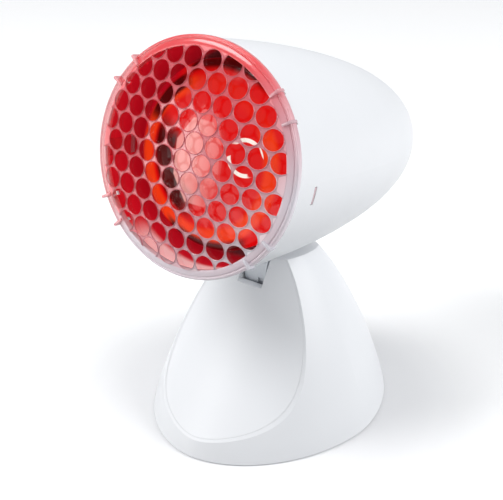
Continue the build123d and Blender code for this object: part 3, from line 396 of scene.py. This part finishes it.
# %% Grille plastic
PINK, LILAC, PALE = (0.88, 0.19, 0.20), (0.70, 0.43, 0.47), (0.82, 0.80, 0.84)
GRILLE_PARTS = (  # name, painted red light from upper left to lower right, alpha, roughness, painted glow
    ("grille_web", PINK, LILAC, PALE, 0.80, 0.16, 0.10),
    # the rims' darker red is painted shade along the holes' edges
    ("grille_rim", (0.62, 0.10, 0.12), (0.52, 0.27, 0.31), (0.58, 0.56, 0.60), 0.86, 0.08, 0.04),
    ("grille_wall", (0.50, 0.04, 0.045), (0.40, 0.10, 0.12), (0.45, 0.38, 0.42), 0.02, 0.10, 0.0),
    ("grille_tab", (0.86, 0.30, 0.32), (0.62, 0.50, 0.55), (0.62, 0.61, 0.66), 0.62, 0.08, 0.06),
    ("grille_tongue", (0.70, 0.05, 0.06), (0.60, 0.20, 0.24), (0.60, 0.50, 0.55), 0.16, 0.08, 0.0),
    ("grille_hook", (0.70, 0.40, 0.44), (0.60, 0.40, 0.44), (0.56, 0.38, 0.42), 0.96, 0.2, 0.0),
)


def polycarbonate(name, roughness, painted_glow):
    """The grille's plastic before its painted red light; also returns across, up and that light's drift."""
    material, tree, principled = shader(name, IOR=1.58, Coat_Weight=0.6, Coat_Roughness=0.05,
                                        Emission_Strength=painted_glow)
    plug(tree, principled.inputs["Roughness"], noise(tree, 300.0) * 0.1 + roughness)
    bumpy(tree, principled, noise(tree, 220.0), 0.05)
    across, up = head_place(tree)[:2]
    return material, tree, principled, across, up, across * 0.80 + up * -0.60


def red_light_fade(tree, red_light_drift, strong, middle, weak):
    """Painted red light that fades in two steps along a drift."""
    first = blend_colours(tree, red_light_drift.ramp(-14.0, 38.0), strong, middle)
    return blend_colours(tree, red_light_drift.ramp(28.0, 58.0), first, weak)


def coloured_and_glowing(tree, principled, colour):
    """The same colour for the surface and for a painted glow."""
    plug(tree, principled.inputs["Base Color"], colour)
    plug(tree, principled.inputs["Emission Color"], colour)


def grille_plastic(name, strong, middle, weak, alpha, roughness, painted_glow):
    """Milky polycarbonate whose painted red light fades across the face."""
    material, tree, principled, across, up, red_light_drift = polycarbonate(name, roughness, painted_glow)
    wander = noise(tree, 40.0) * 10.0 - 5.0
    # painted red light across the face, as colour and as a painted glow
    coloured_and_glowing(tree, principled, red_light_fade(tree, red_light_drift + wander, strong, middle, weak))
    plug(tree, principled.inputs["Alpha"], alpha + noise(tree, 120.0) * 0.04)
    return material


web, rim, wall, tab, tongue, hook = (grille_plastic(*part) for part in GRILLE_PARTS)
print("grille plastics:", [made.name for made in (web, rim, wall, tab, tongue, hook)])

# %% [markdown]
# ## The bezel's plastic
# The bezel is of the same stuff, but it is one long ring: clearest at the far left, where the lens
# shows through it, with painted red light strongest at the upper left, and greyer underneath with
# painted shade. So it gets its own alpha and one painted colour more.

# %% Bezel plastic
BEZEL_RED, BEZEL_LILAC, BEZEL_PALE = (0.80, 0.055, 0.065), (0.66, 0.42, 0.47), (0.72, 0.72, 0.77)
BEZEL_SHADE = (0.70, 0.60, 0.65)
bezel_red, tree, principled, across, up, red_light_drift = polycarbonate("grille_bezel", 0.2, 0.07)
plug(tree, principled.inputs["Alpha"], 0.46 + across.ramp(-56.0, -24.0) * 0.34)
# painted shade: greyer underneath
shaded_underneath = (up * -1 + across * 0.25).ramp(14.0, 42.0)
# painted red light, strongest at the upper left, also given as a painted glow
tint = red_light_fade(tree, red_light_drift, BEZEL_RED, BEZEL_LILAC, BEZEL_PALE)
coloured_and_glowing(tree, principled, blend_colours(tree, shaded_underneath, tint, BEZEL_SHADE))
print("bezel plastic:", bezel_red.name)

# %% [markdown]
# ## The frame's finishes
# Every solid of the frame names the stuff it is made of, so one table dresses them all. Choosing a
# finish by hand for each of them would be longer, and wrong as soon as a solid is added.


# %% Dress the frame
def dress(piece, *materials):
    """Materials on a piece, in the order of its faces' numbers. Clearing would reset those."""
    if piece.data.materials:
        piece.data.materials.clear()
    for material in materials:
        piece.data.materials.append(material)


FINISH = {
    "white_plastic": white, "grey_plastic": grey, "black_plastic": black, "clear_plastic": web,
    "red_glass": ruby, "silvered_glass": silver, "clear_glass": clear_glass, "steel": steel,
    "spring_steel": spring_steel, "brass": brass, "aluminium": aluminium, "tungsten": tungsten,
    "iron": iron, "rubber": rubber, "nylon": nylon, "porcelain": porcelain,
}
for row in frame["record"]["subparts"]:
    dress(nodes[row["node"]], FINISH[row["material_slot"]])

# %% [markdown]
# ## The head's inside
# The head is white plastic through and through, but its inner wall carries the lamp's red light as
# painted colour and a painted glow, with painted pale pink light low down behind the grille. A mask
# finds the inner wall by its distance from the head's line: the outline of the bullet is known, and
# what lies well inside it is the inner wall.

# %% White outside, painted red light inside
BULLET_START, BULLET_LENGTH, BULLET_RADIUS = 6.0, 187.5, 58.4
TAPER, BLUNTNESS = 1.68, 0.709
INNER_RED_LIGHT, INNER_PINK_LIGHT = (0.62, 0.006, 0.02), (0.90, 0.58, 0.58)
housing, tree, principled = shader("head_plastic", IOR=1.48, Emission_Strength=0.30)
across, up, out = head_place(tree)
along = ((out * -1 - BULLET_START) / BULLET_LENGTH).maths("MAXIMUM", 0.0)
thickness = (1 - along.maths("POWER", TAPER)).maths("MAXIMUM", 0.0)
outline = thickness.maths("POWER", BLUNTNESS) * BULLET_RADIUS
from_middle = reach(across, up)
inner = (outline - from_middle).ramp(1.0, 1.6)
low_in_front = (up / from_middle * -1).ramp(0.72, 0.90) * out.ramp(-15.0, -9.0)
# painted light on the inner wall: red, and pale pink low down in front
painted_inner_light = blend_colours(tree, low_in_front, INNER_RED_LIGHT, INNER_PINK_LIGHT)
cloud = noise(tree, CLOUD_SCALE, 3.0)
outer = blend_colours(tree, cloud, WHITE, (0.775, 0.785, 0.805))
plug(tree, principled.inputs["Base Color"], blend_colours(tree, inner, outer, painted_inner_light))
# the inner wall's painted light also glows
plug(tree, principled.inputs["Emission Color"], blend_colours(tree, inner, BLACK, painted_inner_light))
plug(tree, principled.inputs["Roughness"], cloud * 0.06 + 0.31)
bumpy(tree, principled, noise(tree, GRAIN_SCALE), 0.02)
dress(nodes["head_shell"], housing)
print("head's plastic:", housing.name)

# %% [markdown]
# ## Making a piece
# A shape is drawn in a bmesh, then moved into place, shaded smooth with creases where it turns
# sharply, dressed, and put on the body that it moves with. These steps are the same for each piece.


# %% Helpers for pieces
def face_outwards(shape):
    """Joins a closed shape's doubled corners and makes its faces look outwards."""
    bmesh.ops.remove_doubles(shape, verts=shape.verts[:], dist=0.002)
    bmesh.ops.recalc_face_normals(shape, faces=shape.faces[:])


def finished(name, shape, materials, body, stands_for, crease=38.0):
    """Turns a shape in the head's axes into a piece that rides on a body."""
    bmesh.ops.transform(shape, matrix=HEAD, verts=shape.verts[:])
    for face in shape.faces:
        face.smooth = True
    mesh = bpy.data.meshes.new(name)
    shape.to_mesh(mesh)
    mesh.set_sharp_from_angle(angle=radians(crease))
    piece = bpy.data.objects.new(name, mesh)
    scene.collection.objects.link(piece)
    dress(piece, *materials)
    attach(piece, body)
    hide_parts(*stands_for)
    print(name, len(mesh.polygons), "faces")
    shape.free()


print("pieces of the head are drawn in units of", MM, "m")


# %% [markdown]
# ## The honeycomb
# The grille is a domed plate with round holes that nearly touch, each with a thin raised rim like a
# tube's end. All cells are alike, so one is made: circles bridged to a hexagon. A plain hexagon
# serves where the plate has no hole. Cutting ninety holes from a dome with booleans would leave a
# rougher mesh.

# %% One cell
PITCH, HOLE, SEGMENTS, SIDES = 11.4, 5.15, 24, 6
CORNER = PITCH / sqrt(3)
RIM_HEIGHT = 0.46
RIM_LINE = [(HOLE, 0.0), (HOLE + 0.06, 0.34), (HOLE + 0.22, RIM_HEIGHT), (HOLE + 0.38, 0.32),
            (HOLE + 0.47, 0.0)]
RIM, WALL = 1, 2  # the numbers of their materials; the web's is 0


def circle(shape, radius, height, segments):
    """A ring of edges."""
    made = bmesh.ops.create_circle(shape, cap_ends=False, segments=segments, radius=radius)["verts"]
    bmesh.ops.translate(shape, verts=made, vec=(0, 0, height))
    return list({edge for corner in made for edge in corner.link_edges})


def cell(with_hole):
    """One hexagon of the plate's front, with a rimmed hole or plain."""
    shape = bmesh.new()
    hexagon = circle(shape, CORNER, 0, SIDES)
    bmesh.ops.subdivide_edges(shape, edges=hexagon, cuts=SEGMENTS // SIDES - 1)
    outline = shape.edges[:]
    if not with_hole:
        bmesh.ops.contextual_create(shape, geom=outline)
        return shape
    loops = [circle(shape, radius, height, SEGMENTS) for radius, height in RIM_LINE]
    for first, second in zip(loops, loops[1:]):
        for face in bmesh.ops.bridge_loops(shape, edges=first + second)["faces"]:
            face.material_index = RIM
    bmesh.ops.bridge_loops(shape, edges=loops[-1] + outline)
    return shape


samples = {}
for with_hole in (True, False):
    shape = cell(with_hole)
    samples[with_hole] = bpy.data.meshes.new("sample_cell")
    shape.to_mesh(samples[with_hole])
    shape.free()
print("a cell has", len(samples[True].polygons), "faces")

# %% [markdown]
# The cell is repeated on a lattice whose odd rows are half a pitch further on, and the plate is
# trimmed to the bezel's circle by many short straight cuts while it is still flat. The two outermost
# cells of the middle row stay plain, because the clips need the room.

# %% The flat plate
ROWS, FACE_RADIUS, HOLED_RADIUS, TRIMS = 5, 54.9, 5.05 * PITCH, 72
plate = bmesh.new()
for row in range(-ROWS - 1, ROWS + 2):
    for column in range(-ROWS - 1, ROWS + 2):
        x, y = (column + (row % 2) / 2) * PITCH, row * PITCH * sqrt(3) / 2
        far = sqrt(x * x + y * y)
        if far > FACE_RADIUS + CORNER:
            continue
        holed = far < HOLED_RADIUS and not (row == 0 and abs(column) == ROWS)
        before = set(plate.verts)
        plate.from_mesh(samples[holed])
        bmesh.ops.translate(plate, verts=[v for v in plate.verts if v not in before], vec=(x, y, 0))
bmesh.ops.remove_doubles(plate, verts=plate.verts[:], dist=0.01)
for step in range(TRIMS):
    angle = 2 * pi * step / TRIMS
    facing = Vector((cos(angle), sin(angle), 0))
    bmesh.ops.bisect_plane(plate, geom=plate.verts[:] + plate.edges[:] + plate.faces[:], dist=0.001,
                           plane_co=facing * FACE_RADIUS, plane_no=facing, clear_outer=True)
print("the flat plate:", len(plate.faces), "faces")

# %% [markdown]
# Extruding the flat plate closes each hole's wall and the trimmed edge at once. The new back is made
# flat by scaling its height to nothing, and then the whole plate is bent: a point's height on the
# dome follows from its distance to the middle.

# %% Depth and dome
DEPTH, RISE, SAG, EDGE_RADIUS = 3.4, 5.6, 7.4, 55.3
BEND = (EDGE_RADIUS ** 2 + SAG ** 2) / (2 * SAG)
front = plate.faces[:]
grown = bmesh.ops.extrude_face_region(plate, geom=front)["geom"]
back = [part for part in grown if isinstance(part, bmesh.types.BMVert)]
bmesh.ops.scale(plate, verts=back, vec=(1, 1, 0))
bmesh.ops.translate(plate, verts=back, vec=(0, 0, -DEPTH))
front = set(front)
for face in plate.faces:
    if face not in front:
        face.material_index = WALL
for corner in plate.verts:
    away = corner.co.x ** 2 + corner.co.y ** 2
    corner.co.z += RISE + SAG - BEND + sqrt(BEND ** 2 - away) - RIM_HEIGHT
face_outwards(plate)
finished("grille_honeycomb", plate, (web, rim, wall), "head", ("grille",), 50.0)

# %% [markdown]
# ## The bezel
# A turned ring carries the honeycomb on: a plain band slopes on from it and bears the ribs, then a
# fine groove and a bead, and a rounded outer edge. Its outline is spun into a ring, whose sharp
# edges are then rounded; a real mould can't make them sharp either.


# %% Bezel ring
def lathe(profile, steps):
    """A closed outline of (radius, height) pairs, spun about the head's line."""
    shape = bmesh.new()
    corners = [shape.verts.new((radius, 0, height)) for radius, height in profile]
    for first, second in zip(corners, corners[1:] + corners[:1]):
        shape.edges.new((first, second))
    bmesh.ops.spin(shape, geom=shape.verts[:] + shape.edges[:], cent=(0, 0, 0), axis=(0, 0, 1),
                   angle=2 * pi, steps=steps, use_merge=True)
    face_outwards(shape)
    return shape


def soften(shape, width, segments, angle=25.0):
    """Rounds the edges that turn by more than an angle."""
    sharp = [edge for edge in shape.edges if len(edge.link_faces) == 2
             and degrees(edge.calc_face_angle(0)) > angle]
    bmesh.ops.bevel(shape, geom=sharp, offset=width, segments=segments, profile=0.5,
                    affect="EDGES", material=-1, clamp_overlap=True)


BEZEL = [(54.7, 1.2), (54.7, 5.15), (56.4, 4.75), (57.9, 4.2), (58.05, 3.55), (58.45, 3.5),
         (58.6, 4.0), (59.3, 3.85), (59.45, 3.3), (59.75, 3.2), (60.0, 2.7), (60.0, 0.15),
         (56.6, 0.15)]
shape = lathe(BEZEL, 144)
soften(shape, 0.12, 2, 20.0)
finished("grille_bezel", shape, (bezel_red,), "head", ("grille",))

# %% [markdown]
# ## Ribs
# Pairs of short ribs cross the band and stand a little outside it, where fingers pull the grille
# off. A bar with rounded edges is enough, turned round the head's line into each place.

# %% Ribs
RIB_PAIRS, RIB_SPREAD = (37.0, 143.0, -39.0, 219.0), 7.5
ROUNDING = 0.3


def bar(shape, length, width, height, angle, start, low, finish=0):
    """A rounded bar that points outwards at an angle, from a radius and a height."""
    part = bmesh.new()
    bmesh.ops.create_cube(part, size=1)
    bmesh.ops.scale(part, verts=part.verts[:], vec=(length, width, height))
    middle = (start + length / 2, 0, low + height / 2)
    bmesh.ops.translate(part, verts=part.verts[:], vec=middle)
    soften(part, ROUNDING, 2)
    turn = Matrix.Rotation(radians(angle), 3, "Z")
    bmesh.ops.rotate(part, verts=part.verts[:], cent=(0, 0, 0), matrix=turn)
    for face in part.faces:
        face.material_index = finish
    mesh = bpy.data.meshes.new("bar")
    part.to_mesh(mesh)
    part.free()
    shape.from_mesh(mesh)
    bpy.data.meshes.remove(mesh)


shape = bmesh.new()
for middle in RIB_PAIRS:
    for side in (-1, 1):
        bar(shape, length=6.0, width=1.5, height=5.2, angle=middle + side * RIB_SPREAD,
            start=55.2, low=0.6)
face_outwards(shape)
finished("grille_ribs", shape, (tab,), "head", ("grille",))

# %% [markdown]
# ## Snap clips
# Two tongues reach back into the shell, and each ends in a hook that fills its latch window. The
# tongue is nearly clear and the hook is not, since the hook is what shows from outside.

# %% Clips
CLIP_PLACES, WINDOW_DEPTH, HOOK_HEIGHT = (-6.5, 186.5), 18.0, 1.7
TONGUE_FINISH, HOOK_FINISH = 0, 1
shape = bmesh.new()
for angle in CLIP_PLACES:
    bar(shape, length=1.4, width=8.8, height=23.0, angle=angle, start=53.2, low=-20.2,
        finish=TONGUE_FINISH)
    bar(shape, length=3.9, width=8.6, height=HOOK_HEIGHT, angle=angle, start=54.2,
        low=-WINDOW_DEPTH - HOOK_HEIGHT / 2, finish=HOOK_FINISH)
face_outwards(shape)
finished("grille_clips", shape, (tongue, hook), "head", ("grille",))

# %% [markdown]
# ## The bulb's lens
# A pressed lens with a shallow dome and a rolled shoulder closes the bulb in front. It is spun from
# an outline with a wall of glass, so that its outside and inside are there as in the real one.

# %% Lens
LENS_RADIUS, LENS_FRONT, LENS_SAG, SHOULDER, SHOULDER_DROP = 48.5, -9.0, 7.0, 3.0, 4.0
GLASS, SKIRT_END, STEPS = 2.0, -25.0, 128
AXIS = 0.01  # so close to the head's line that the corners there are joined into one
FLAT = LENS_RADIUS - SHOULDER
LENS_BEND = (FLAT ** 2 + LENS_SAG ** 2) / (2 * LENS_SAG)
LENS_RADII = (AXIS, 6, 12, 18, 24, 30, 36, 41, 45.5, 46.5, 47.3, 47.9, 48.3, 48.5)


def lens_height(radius):
    """Height of the lens's outside at a radius: a shallow dome, then a rolled shoulder."""
    if radius <= FLAT:
        return LENS_FRONT - LENS_BEND + sqrt(LENS_BEND ** 2 - radius ** 2)
    roll = sqrt(max(1 - ((radius - FLAT) / SHOULDER) ** 2, 0))
    return LENS_FRONT - LENS_SAG - SHOULDER_DROP * (1 - roll)


outside = [(radius, lens_height(radius)) for radius in LENS_RADII]
inside = [(max(radius - GLASS, AXIS), height - GLASS * 0.8) for radius, height in outside[::-1]]
skirt = [(LENS_RADIUS, SKIRT_END), (LENS_RADIUS - GLASS, SKIRT_END)]
shape = lathe(outside + skirt + inside, STEPS)
finished("bulb_lens_glass", shape, (ruby,), "head", ("bulb_lens",), 45.0)

# %% [markdown]
# ## The bulb's bowl
# Behind the lens the bulb is a bowl, close to a paraboloid: the square of its radius falls evenly
# towards the neck. The stations of its outline are closer together towards the neck, where it
# curves more, so that fewer of them do.

# %% Bowl
BOWL_END, NECK, STATIONS = -112.0, 15.0, 24


def bowl_radius(height, inset=0.0):
    """Radius of the bowl at a height, or of its inner wall."""
    along = (height - SKIRT_END) / (BOWL_END - SKIRT_END)
    outer, neck = LENS_RADIUS - inset, NECK - inset
    return sqrt(outer ** 2 + (neck ** 2 - outer ** 2) * along)


shares = [1 - (1 - station / STATIONS) ** 2 for station in range(STATIONS + 1)]
heights = [SKIRT_END + (BOWL_END - SKIRT_END) * share for share in shares]
outside = [(bowl_radius(height), height) for height in heights]
inside = [(bowl_radius(height, GLASS), height) for height in heights[::-1]]
shape = lathe(outside + inside, STEPS)
finished("bulb_bowl", shape, (silver,), "head", ("bulb_reflector",), 45.0)

# %% [markdown]
# ## Floor
# A white studio floor with a painted shadow around the foot: darker there, and without the floor's
# own light, so that a soft shadow shows there while the rest stays white. Its light isn't thrown
# back on the lamp, whose underside and lowest band would otherwise be as bright as its top.

# %% Floor
FLOOR_HALF = 6
FOOT_MIDDLE, SHADE_START, SHADE_END = (0.0, -0.02), 0.065, 0.15
PAINTED_SHADOW_GREY, FAR_WHITE, FAR_WHITE_TOO = (0.84, 0.84, 0.85), (0.955, 0.955, 0.955), (0.94, 0.94, 0.945)
floor_mesh = bpy.data.meshes.new("floor")
shape = bmesh.new()
bmesh.ops.create_grid(shape, x_segments=1, y_segments=1, size=FLOOR_HALF)
shape.to_mesh(floor_mesh)
shape.free()
floor = bpy.data.objects.new("floor", floor_mesh)
scene.collection.objects.link(floor)
floor_paint, tree, principled = shader("floor_paint", Emission_Strength=0.16)
x, y = axes(tree, place(tree))[:2]
# painted shadow: near the foot the floor is greyer and gives no light of its own
away = reach(x, y, FOOT_MIDDLE).ramp(SHADE_START, SHADE_END)
pale = blend_colours(tree, noise(tree, 3.0), FAR_WHITE, FAR_WHITE_TOO)
plug(tree, principled.inputs["Base Color"], blend_colours(tree, away, PAINTED_SHADOW_GREY, pale))
plug(tree, principled.inputs["Emission Color"], blend_colours(tree, away, BLACK, (1.0, 1.0, 1.0)))
plug(tree, principled.inputs["Roughness"], noise(tree, 8.0) * 0.1 + 0.6)
dress(floor, floor_paint)
floor.visible_diffuse = False
print("floor:", 2 * FLOOR_HALF, "m wide")

# %% [markdown]
# ## Lamps
# One tall eight sided softbox stands close to the front left, and its mirror image, over a painted
# reflection, is the pale patch on the lens. A round light in front and one from the right model the
# white housing, and a weak one from above lifts its top. The softbox is a bare shape that shines,
# because a lamp of Blender's own has no eight sided form.

# %% Lamps
HEART = Vector((0, 0, 0.12))
KEY_OFFSET = Vector((-0.63, -0.776, 0.01)) * 1.2


def softbox(name, offset, size, power):
    """A round area light that looks at the heart of the lamp."""
    lamp = bpy.data.lights.new(name, "AREA")
    lamp.shape, lamp.size, lamp.size_y = "ELLIPSE", size, size
    lamp.energy = power
    made = bpy.data.objects.new(name, lamp)
    spot = HEART + Vector(offset)
    made.location = spot
    made.rotation_euler = (HEART - spot).to_track_quat("-Z", "Y").to_euler()
    scene.collection.objects.link(made)


def octagon(name, spot, target, width, height, radiance):
    """A shining eight sided shape that looks at a point."""
    material = shader(name, Base_Color=(0, 0, 0, 1), Emission_Color=(1, 0.98, 0.96, 1),
                      Emission_Strength=radiance)[0]
    shape = bmesh.new()
    made = bmesh.ops.create_circle(shape, cap_ends=True, segments=8, radius=0.5)["verts"]
    bmesh.ops.rotate(shape, verts=made, cent=(0, 0, 0), matrix=Matrix.Rotation(pi / 8, 3, "Z"))
    bmesh.ops.scale(shape, verts=made, vec=(width, height, 1))
    facing = (target - spot).to_track_quat("Z", "Y").to_matrix().to_4x4()
    bmesh.ops.transform(shape, matrix=Matrix.Translation(spot) @ facing, verts=made)
    mesh = bpy.data.meshes.new(name)
    shape.to_mesh(mesh)
    shape.free()
    made = bpy.data.objects.new(name, mesh)
    scene.collection.objects.link(made)
    dress(made, material)
    made.visible_camera = False


octagon("key_softbox", RING + KEY_OFFSET, RING, width=0.50, height=0.80, radiance=4.0)
softbox("front", (-0.66, -0.86, 1.22), size=0.9, power=18.5)
softbox("right", (1.3, 0.3, 0.75), size=1.4, power=18.0)
softbox("top", (-0.2, 0.3, 1.5), size=1.4, power=1.0)

# %% [markdown]
# ## Sky
# The sky is pale all round, so that the white housing keeps light on every side. It is brightest low
# down, like a studio's backdrop, but for the open side of the studio in front, and dimmer below the
# horizon. Four plain numbers and three masks over the direction do that, with no picture of a sky.

# %% Sky
ALL_ROUND, BACKDROP, OPEN_SIDE, DIMMING = 0.36, 0.48, 0.44, 0.42
world = bpy.data.worlds.new("studio")
world.use_nodes = True
sky = world.node_tree
backdrop = sky.nodes["Background"]
backdrop.inputs["Color"].default_value = (0.93, 0.96, 1.0, 1)
east, north, height = axes(sky, node(sky, "ShaderNodeTexCoord"))
low_down = 1 - height.ramp(0.10, 0.50)
in_front = (east * 0.42 - north * 0.91).ramp(0.35, 0.90)
beneath = 1 - height.ramp(-0.25, 0.0)
light = ALL_ROUND + low_down * (BACKDROP - in_front * OPEN_SIDE)
plug(sky, backdrop.inputs["Strength"], light * (1 - beneath * DIMMING))
scene.world = world
scene.view_settings.view_transform = "Standard"
print("sky:", len(sky.nodes), "nodes")

# %% [markdown]
